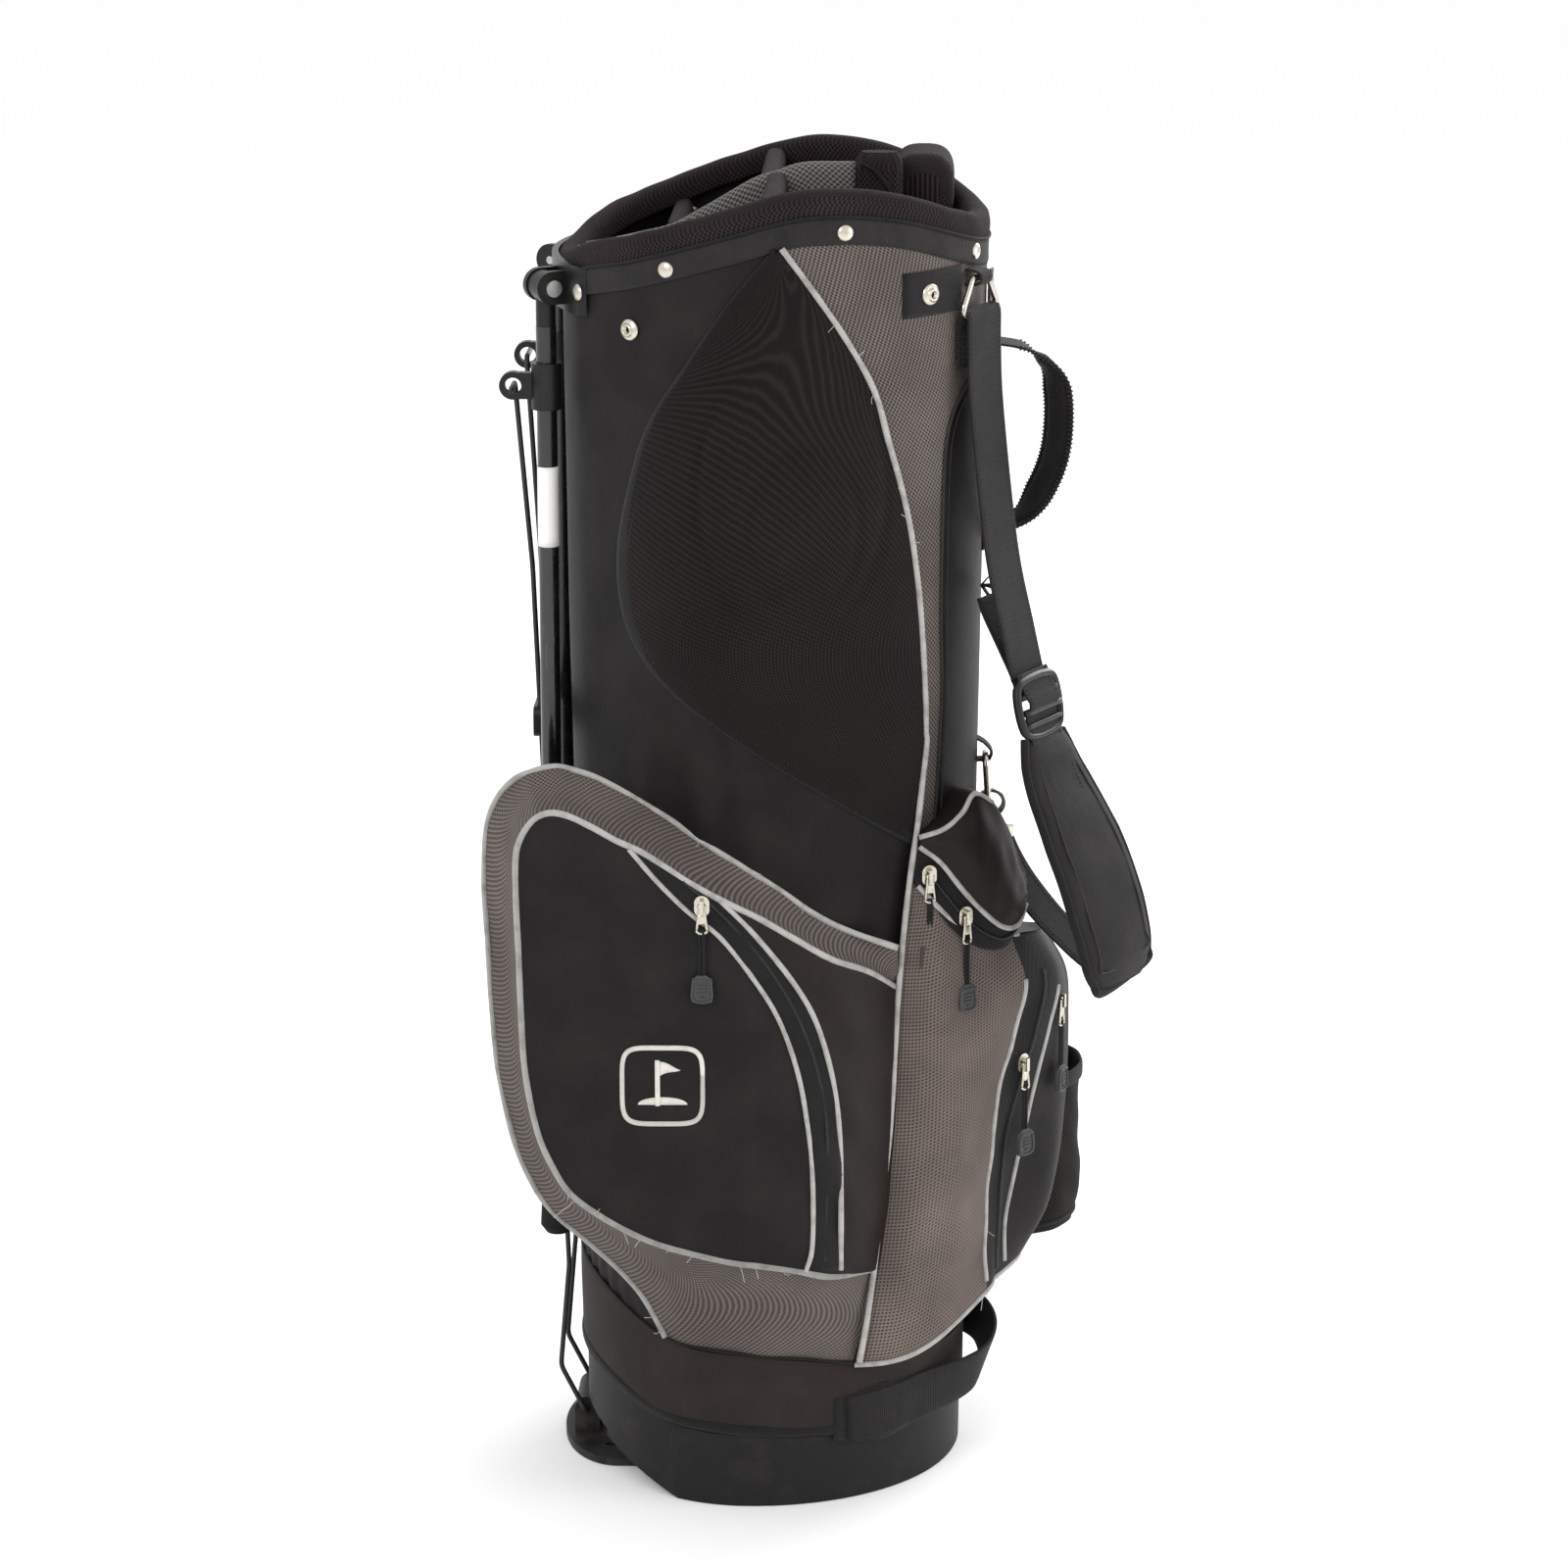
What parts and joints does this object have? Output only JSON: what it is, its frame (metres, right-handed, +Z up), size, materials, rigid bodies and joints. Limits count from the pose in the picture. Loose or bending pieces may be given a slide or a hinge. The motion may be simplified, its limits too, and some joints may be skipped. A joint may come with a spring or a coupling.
{
  "type": "golf stand bag",
  "caption": "Golf stand bag with padded rim, club dividers, zipped pockets, one shoulder strap and two legs that open when its foot plate is pressed.",
  "frame": {"origin": "centre of the boot's flat underside, on the floor", "axes": "+Z up along the barrel, +X to the strap side, -X to the leg side, -Y to the large side pocket"},
  "size_m": [0.4065, 0.342, 0.824],
  "materials": {
    "boot_plastic": "moulded, scuffed",
    "hinge_steel": "bright pin",
    "plate_plastic": "moulded",
    "wire_steel": "black coated wire",
    "clip_plastic": "moulded",
    "leg_tube": "gloss black tube",
    "leg_plastic": "moulded",
    "foot_rubber": "matt",
    "screw_steel": "domed head",
    "barrel_fabric": "smooth dark nylon",
    "skirt_fabric": "faded brown-black",
    "rim_webbing": "ribbed webbing",
    "cuff_knit": "padded knit",
    "collar_plastic": "moulded",
    "divider_mesh": "grey spacer mesh",
    "divider_lining": "thin lining",
    "sleeve_knit": "ribbed knit",
    "stay_rod": "glass fibre",
    "rivet_metal": "satin nickel",
    "stud_metal": "satin nickel",
    "spine_fabric": "dark nylon",
    "hip_mesh": "perforated black mesh",
    "pocket_fabric": "dark nylon with grey mesh sides",
    "pouch_fabric": "dark nylon",
    "slider_nickel": "nickel",
    "pull_cord": "cord with rubber end",
    "strap_metal": "nickel",
    "strap_webbing": "ribbed webbing",
    "buckle_plastic": "moulded",
    "pad_fabric": "padded, bound edges",
    "handle_webbing": "folded webbing"
  },
  "bodies": {
    "bag": {"base_boot": "boot_plastic", "base_hinge_pin": "hinge_steel", "leg_bracket": "leg_plastic", "body_shell": "barrel_fabric", "skirt_band": "skirt_fabric", "rim_band": "rim_webbing", "rim_cuff": "cuff_knit", "top_collar": "collar_plastic", "divider_bars": "divider_mesh", "divider_sheets": "divider_lining", "divider_sleeve": "sleeve_knit", "rim_grip": "sleeve_knit", "stay_rods": "stay_rod", "rim_rivets": "rivet_metal", "bracket_rivets": "rivet_metal", "snap_studs": "stud_metal", "spine_panel": "spine_fabric", "hip_pad": "hip_mesh", "side_pocket": "pocket_fabric", "ball_pocket": "pocket_fabric", "valuables_pocket": "pocket_fabric", "far_pocket": "pocket_fabric", "bottle_pouch": "pouch_fabric", "strap_tab": "strap_webbing", "lower_tab": "strap_webbing", "handle_anchors": "strap_webbing", "pivot_screw_near": "screw_steel", "pivot_screw_far": "screw_steel"},
    "leg_near": {"leg_tube_near": "leg_tube", "leg_head_near": "leg_plastic", "leg_foot_near": "foot_rubber", "leg_lug_near": "leg_plastic"},
    "leg_far": {"leg_tube_far": "leg_tube", "leg_head_far": "leg_plastic", "leg_foot_far": "foot_rubber", "leg_lug_far": "leg_plastic"},
    "plate": {"foot_plate": "plate_plastic"},
    "wire": {"actuator_wire": "wire_steel", "wire_clip": "clip_plastic"},
    "shoulder_strap": {"d_ring": "strap_metal", "strap_webbing_upper": "strap_webbing", "ladder_buckle": "buckle_plastic", "shoulder_pad": "pad_fabric", "strap_webbing_lower": "strap_webbing", "snap_hook": "strap_metal", "oval_ring": "strap_metal"},
    "side_handle": {"grab_handle": "handle_webbing"},
    "bottom_handle": {"base_handle": "handle_webbing"},
    "slider_side": {"zip_slider_side": "slider_nickel"},
    "pull_side": {"zip_pull_side": "pull_cord"},
    "slider_ball_front": {"zip_slider_ball_front": "slider_nickel"},
    "pull_ball_front": {"zip_pull_ball_front": "pull_cord"},
    "slider_ball_top": {"zip_slider_ball_top": "slider_nickel"},
    "pull_ball_top": {"zip_pull_ball_top": "pull_cord"},
    "slider_valuables": {"zip_slider_valuables": "slider_nickel"},
    "pull_valuables": {"zip_pull_valuables": "pull_cord"},
    "slider_spare": {"zip_slider_spare": "slider_nickel"},
    "pull_spare": {"zip_pull_spare": "pull_cord"}
  },
  "joints": [
    {"name": "leg_near_swing", "type": "hinge", "parent": "bag", "child": "leg_near", "pos_m": [-0.121, -0.05, 0.75], "axis": [-0.5, 0.866, 0], "range_deg": [0, 35]},
    {"name": "leg_far_swing", "type": "hinge", "parent": "bag", "child": "leg_far", "pos_m": [-0.121, 0.05, 0.75], "axis": [0.5, 0.866, 0], "range_deg": [0, 35.01]},
    {"name": "plate_turn", "type": "hinge", "parent": "bag", "child": "plate", "pos_m": [-0.048, 0, 0.0055], "axis": [0, 1, 0], "range_deg": [0, 25.01]},
    {"name": "wire_turn", "type": "hinge", "parent": "plate", "child": "wire", "pos_m": [-0.106, 0, 0.02], "axis": [0, 1, 0], "range_deg": [-28.31, 0]},
    {"name": "strap_swing", "type": "hinge", "parent": "bag", "child": "shoulder_strap", "pos_m": [0.137, -0.049, 0.757], "axis": [-0.0213, -0.1472, 0.9889], "range_deg": [0, 22]},
    {"name": "side_handle_flop", "type": "hinge", "parent": "bag", "child": "side_handle", "pos_m": [0.1475, 0.008, 0.59], "axis": [0, 0, 1], "range_deg": [-30, 30]},
    {"name": "bottom_handle_flop", "type": "hinge", "parent": "bag", "child": "bottom_handle", "pos_m": [0.1183, -0.061, 0.06], "axis": [0.0518, 0.9987, 0], "range_deg": [-10, 10]},
    {"name": "side_zip", "type": "hinge", "parent": "bag", "child": "slider_side", "pos_m": [-0.17, -0.168, 0.243], "axis": [0, 1, 0], "range_deg": [-6, 46]},
    {"name": "ball_front_zip", "type": "slide", "parent": "bag", "child": "slider_ball_front", "axis": [0, 0, -1], "range_m": [-0.03, 0.1]},
    {"name": "ball_top_zip", "type": "slide", "parent": "bag", "child": "slider_ball_top", "axis": [0, 0, -1], "range_m": [-0.008, 0.06]},
    {"name": "valuables_zip", "type": "slide", "parent": "bag", "child": "slider_valuables", "axis": [0.6021, 0.2007, -0.7727], "range_m": [-0.004, 0.008]},
    {"name": "spare_zip", "type": "slide", "parent": "bag", "child": "slider_spare", "axis": [0.7199, 0.5199, -0.4599], "range_m": [-0.003, 0.01]},
    {"name": "side_pull_lift", "type": "hinge", "parent": "slider_side", "child": "pull_side", "pos_m": [-0.023, -0.17115, 0.402], "axis": [-1, 0, 0], "range_deg": [0, 60]},
    {"name": "ball_front_pull_lift", "type": "hinge", "parent": "slider_ball_front", "child": "pull_ball_front", "pos_m": [0.17038, -0.05619, 0.268], "axis": [-0.6858, -0.7278, 0], "range_deg": [0, 60]},
    {"name": "ball_top_pull_lift", "type": "hinge", "parent": "slider_ball_top", "child": "pull_ball_top", "pos_m": [0.19273, -0.02644, 0.3], "axis": [-0.4163, -0.9092, 0], "range_deg": [0, 60]},
    {"name": "valuables_pull_lift", "type": "hinge", "parent": "slider_valuables", "child": "pull_valuables", "pos_m": [0.11094, -0.09762, 0.4005], "axis": [-0.9511, -0.309, 0], "range_deg": [0, 60]},
    {"name": "spare_pull_lift", "type": "hinge", "parent": "slider_spare", "child": "pull_spare", "pos_m": [0.13348, -0.09151, 0.373], "axis": [-0.8829, -0.4695, 0], "range_deg": [0, 60]}
  ],
  "couplings": [
    {"joint": "leg_far_swing", "follows": "leg_near_swing", "ratio": 1},
    {"joint": "plate_turn", "follows": "leg_near_swing", "ratio": 0.71429},
    {"joint": "wire_turn", "follows": "leg_near_swing", "ratio": -0.80857}
  ]
}
